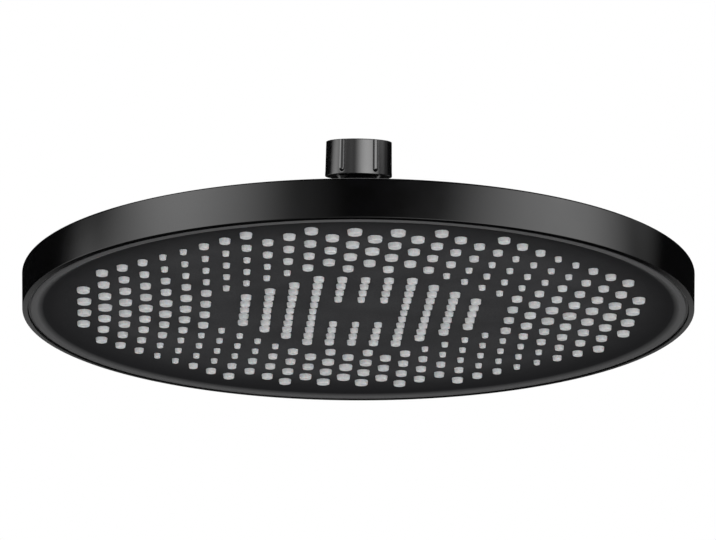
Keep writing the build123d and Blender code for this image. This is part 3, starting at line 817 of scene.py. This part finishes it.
class SHOWER_OT_rings(Operator):
    """Turn the inlet washer and finish the inner parts that keep the shape of their solids."""

    bl_idname = "shower.rings"
    bl_label = "Washer and inner parts"

    def execute(self, context):
        s, nut = context.scene.shower_stem, context.scene.shower_nut
        # Nitrile rubber, pressed: matt, slightly cloudy black
        rubber = moulded(
            "pressed_nitrile_rubber", s.rubber, linear("#121213"),
            cloud=5, grain=0.5, relief=0.01, gloss=(0.55, 0.7), IOR=1.52,
        )
        ring = [
            (s.washer_bore, s.washer_bottom), (s.washer_radius, s.washer_bottom),
            (s.washer_radius, s.washer_top), (s.washer_bore, s.washer_top),
        ]
        outline = rounded(ring, {}, s.washer_round, steps=4)
        points = turned(*outline.T, even_turn(WASHER_COLUMNS))
        washer = piece("inlet_washer_ring", [on_nut(points, nut)], rubber)
        settle(washer, "nut", "black_rubber", "inlet_washer")
        # Stainless sheet, rolled: cool bright metal with a finely mottled sheen
        steel = moulded(
            "rolled_stainless_steel", s.steel, linear("#A5A7AA"),
            cloud=4, grain=0.3, relief=0.003, gloss=(0.22, 0.34), Metallic=1.0,
        )
        # Acetal, turned: milky, waxy plastic
        acetal = moulded(
            "turned_acetal", s.acetal, linear("#CFCEC8"),
            cloud=6, grain=0.5, relief=0.004, gloss=(0.32, 0.42), IOR=1.48,
        )
        # ABS moulded in a plain tool: flat grey with a slight flow pattern
        inner = moulded(
            "plain_grey_abs", s.inner, linear("#333335"),
            cloud=25, grain=1.2, relief=0.01, gloss=(0.45, 0.6), IOR=1.53,
        )
        finishes = {
            steel: ["filter_screen", "plate_screws"],
            acetal: ["ball_seat"],
            rubber: ["ball_seal", "stem_seal", "chamber_seal"],
            inner: ["chamber_plate"],
        }
        for material, names in finishes.items():
            for name in names:
                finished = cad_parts[name].data.materials
                finished.clear()
                finished.append(material)
        return {"FINISHED"}


def showing(tree):
    """One for a ray that shows the background: seen, mirrored or seen through. Otherwise none."""
    path = add_node(tree, "LightPath")
    either = {0: path["Is Camera Ray"], 1: path["Is Glossy Ray"]}
    mirrored = add_node(tree, "Math", either, operation="MAXIMUM")[0]
    return add_node(tree, "Math", {0: mirrored, 1: path["Is Transmission Ray"]}, operation="MAXIMUM")[0]


def pale(s):
    """Pale matt floor paper with a faint tooth, that fades to plain white for the camera far out.

    The tooth is drawn at 40 mm, much coarser than real, because the floor lies metres away.
    """
    material, tree = empty_material("pale_floor_paper")
    place = add_node(tree, "TexCoord")["Object"]
    tooth = add_node(tree, "TexNoise", {"Vector": place, "Scale": per_cell(40), "Detail": 4.0})[0]
    rough = add_node(tree, "MapRange", {"Value": tooth, "To Min": 0.8, "To Max": 0.95})[0]
    far = {"Value": off_axis(tree, place), "From Min": s.fade_start, "From Max": s.fade_end}
    fade = add_node(tree, "MapRange", far)[0]
    seen = add_node(tree, "Math", {0: fade, 1: showing(tree)}, operation="MULTIPLY")[0]
    matt = add_node(tree, "BsdfPrincipled", {"Base Color": s.floor, "Roughness": rough})[0]
    white = add_node(tree, "Emission", {"Color": (1, 1, 1, 1), "Strength": 1.0})[0]
    shader = add_node(tree, "MixShader", {0: seen, 1: matt, 2: white})[0]
    add_node(tree, "OutputMaterial", {"Surface": shader})
    return material


def facing(azimuth, elevation):
    """Direction from the head at an azimuth from -Y and an elevation, in radians."""
    level = math.cos(elevation)
    return np.array([math.sin(azimuth) * level, -math.cos(azimuth) * level, math.sin(elevation)])


def axes(back):
    """Turn that points local Z along back and keeps local X level, as a matrix."""
    right = np.cross([0, 0, 1], back)
    right = right / np.linalg.norm(right)
    return Matrix(np.column_stack([right, np.cross(back, right), back]).tolist()).to_4x4()


def softbox(name, azimuth, elevation, distance, spread, strength):
    """Soft-edged area lamp aimed at the head.

    Its half width and half height are the distance times the tangents of the spread, in degrees. Its
    glow falls on a smooth step from the middle to the edge. Its power is strength times pi times its
    area, so strength is the glow in its middle.
    """
    lamp = bpy.data.lights.new(name, "AREA")
    lamp.shape = "RECTANGLE"
    lamp.size, lamp.size_y = 2 * distance * np.tan(np.radians(spread))
    lamp.energy = strength * math.pi * lamp.size * lamp.size_y
    tree = empty_tree(lamp)
    place = add_node(tree, "NewGeometry")["Parametric"]
    doubled = {0: place, 1: (2, 2, 0), 2: (-1, -1, 0)}
    centred = add_node(tree, "VectorMath", doubled, operation="MULTIPLY_ADD")[0]
    inwards = add_node(tree, "TexGradient", {"Vector": centred}, gradient_type="SPHERICAL")["Fac"]
    glow = add_node(tree, "MapRange", {"Value": inwards}, interpolation_type="SMOOTHSTEP")[0]
    light = add_node(tree, "Emission", {"Strength": glow})[0]
    add_node(tree, "OutputLight", {"Surface": light})
    made = placed(name, lamp)
    back = facing(*np.radians([azimuth, elevation]))
    made.matrix_world = Matrix.Translation((back * distance).tolist()) @ axes(back)
    made.visible_camera = False
    return made


def surroundings(context, s):
    """White for what is seen, mirrored or seen through, and an even fill for all other light."""
    world = bpy.data.worlds.new("studio")
    tree = empty_tree(world)
    level = add_node(tree, "MapRange", {"Value": showing(tree), "To Min": s.fill, "To Max": 1.0})[0]
    light = add_node(tree, "Background", {"Color": (1, 1, 1, 1), "Strength": level})[0]
    add_node(tree, "OutputWorld", {"Surface": light})
    context.scene.world = world


def camera(context, s):
    """Camera on the photograph's line of sight, with its target at its place in the picture."""
    middle = np.array([0, 0, s.target])
    sight = facing(s.azimuth, s.elevation)
    spot = middle + s.distance * sight
    level = np.array(axes(sight))
    per_pixel = s.distance / s.focal
    aim = middle - level[:3, 0] * s.offset_x * per_pixel + level[:3, 1] * s.offset_y * per_pixel
    back = (spot - aim) / np.linalg.norm(spot - aim)
    view = bpy.data.cameras.new("camera")
    view.lens = s.focal * view.sensor_width / PHOTO_WIDTH
    made = placed("camera", view)
    made.matrix_world = Matrix.Translation(spot.tolist()) @ axes(back) @ Matrix.Rotation(s.roll, 4, "Z")
    context.scene.camera = made


class SHOWER_OT_stage(Operator):
    """Set the floor, the dark cards, the soft light and the camera."""

    bl_idname = "shower.stage"
    bl_label = "Stage"

    def execute(self, context):
        s = context.scene.shower_stage
        context.scene.view_settings.view_transform = "Standard"
        rows = np.linspace(s.floor_radius, 0, FLOOR_ROWS)
        ground = turned(rows, 0 * rows + s.floor_height, even_turn(FLOOR_COLUMNS))
        ground = piece("floor", [ground], pale(s), closed_outline=False)
        # Card covered in black cloth: dull, with almost no sheen
        black = moulded("black_card", s.card, None, cloud=20, grain=2, relief=0.01, gloss=(0.9, 0.95), IOR=1.3)
        ring = np.array([s.card_inner, s.card_radius, s.card_radius, 0])
        edges = np.array([s.card_bottom, s.card_bottom, s.card_top, s.card_top])
        cards = piece("cards", [turned(ring, edges, even_turn(CARD_COLUMNS))], black, closed_outline=False)
        # The cards darken what the gloss mirrors, and neither show nor shade anything
        for ray in ("camera", "diffuse", "shadow", "transmission"):
            setattr(cards, f"visible_{ray}", False)
        for lamp in LAMPS:
            softbox(*lamp)
        # The wash lights the face, and the gloss doesn't mirror it
        softbox(*WASH).visible_glossy = False
        surroundings(context, s)
        camera(context, s)
        return {"FINISHED"}


class SHOWER_PT_panel(Panel):
    """Lists the pieces of the shower head and their sizes."""

    bl_label = "Shower head"
    bl_idname = "SHOWER_PT_panel"
    bl_space_type = "VIEW_3D"
    bl_region_type = "UI"
    bl_category = "Shower head"

    def draw(self, context):
        for group, kind, operators in PARTS:
            box = self.layout.box()
            for operator in operators:
                box.operator(operator.bl_idname)
            for name in kind.__annotations__:
                box.prop(getattr(context.scene, group), name)


PARTS = [
    ("shower_housing", HousingSizes, [SHOWER_OT_housing]),
    ("shower_face", FaceSizes, [SHOWER_OT_face]),
    ("shower_nozzles", NozzleSizes, [SHOWER_OT_nozzles]),
    ("shower_nut", NutSizes, [SHOWER_OT_nut]),
    ("shower_stem", StemSizes, [SHOWER_OT_stem, SHOWER_OT_rings]),
    ("shower_stage", StageSizes, [SHOWER_OT_stage]),
]
CLASSES = [made for _, sizes, operators in PARTS for made in (sizes, *operators)] + [SHOWER_PT_panel]


def register():
    for made in CLASSES:
        bpy.utils.register_class(made)
    for name, sizes, _ in PARTS:
        setattr(bpy.types.Scene, name, PointerProperty(type=sizes))


def unregister():
    for name, _, _ in PARTS:
        delattr(bpy.types.Scene, name)
    for made in reversed(CLASSES):
        bpy.utils.unregister_class(made)


def main():
    """Build all pieces in order."""
    register()
    bpy.ops.shower.housing()
    bpy.ops.shower.face()
    bpy.ops.shower.nozzles()
    bpy.ops.shower.nut()
    bpy.ops.shower.stem()
    bpy.ops.shower.rings()
    bpy.ops.shower.stage()


if __name__ == "__main__":
    main()
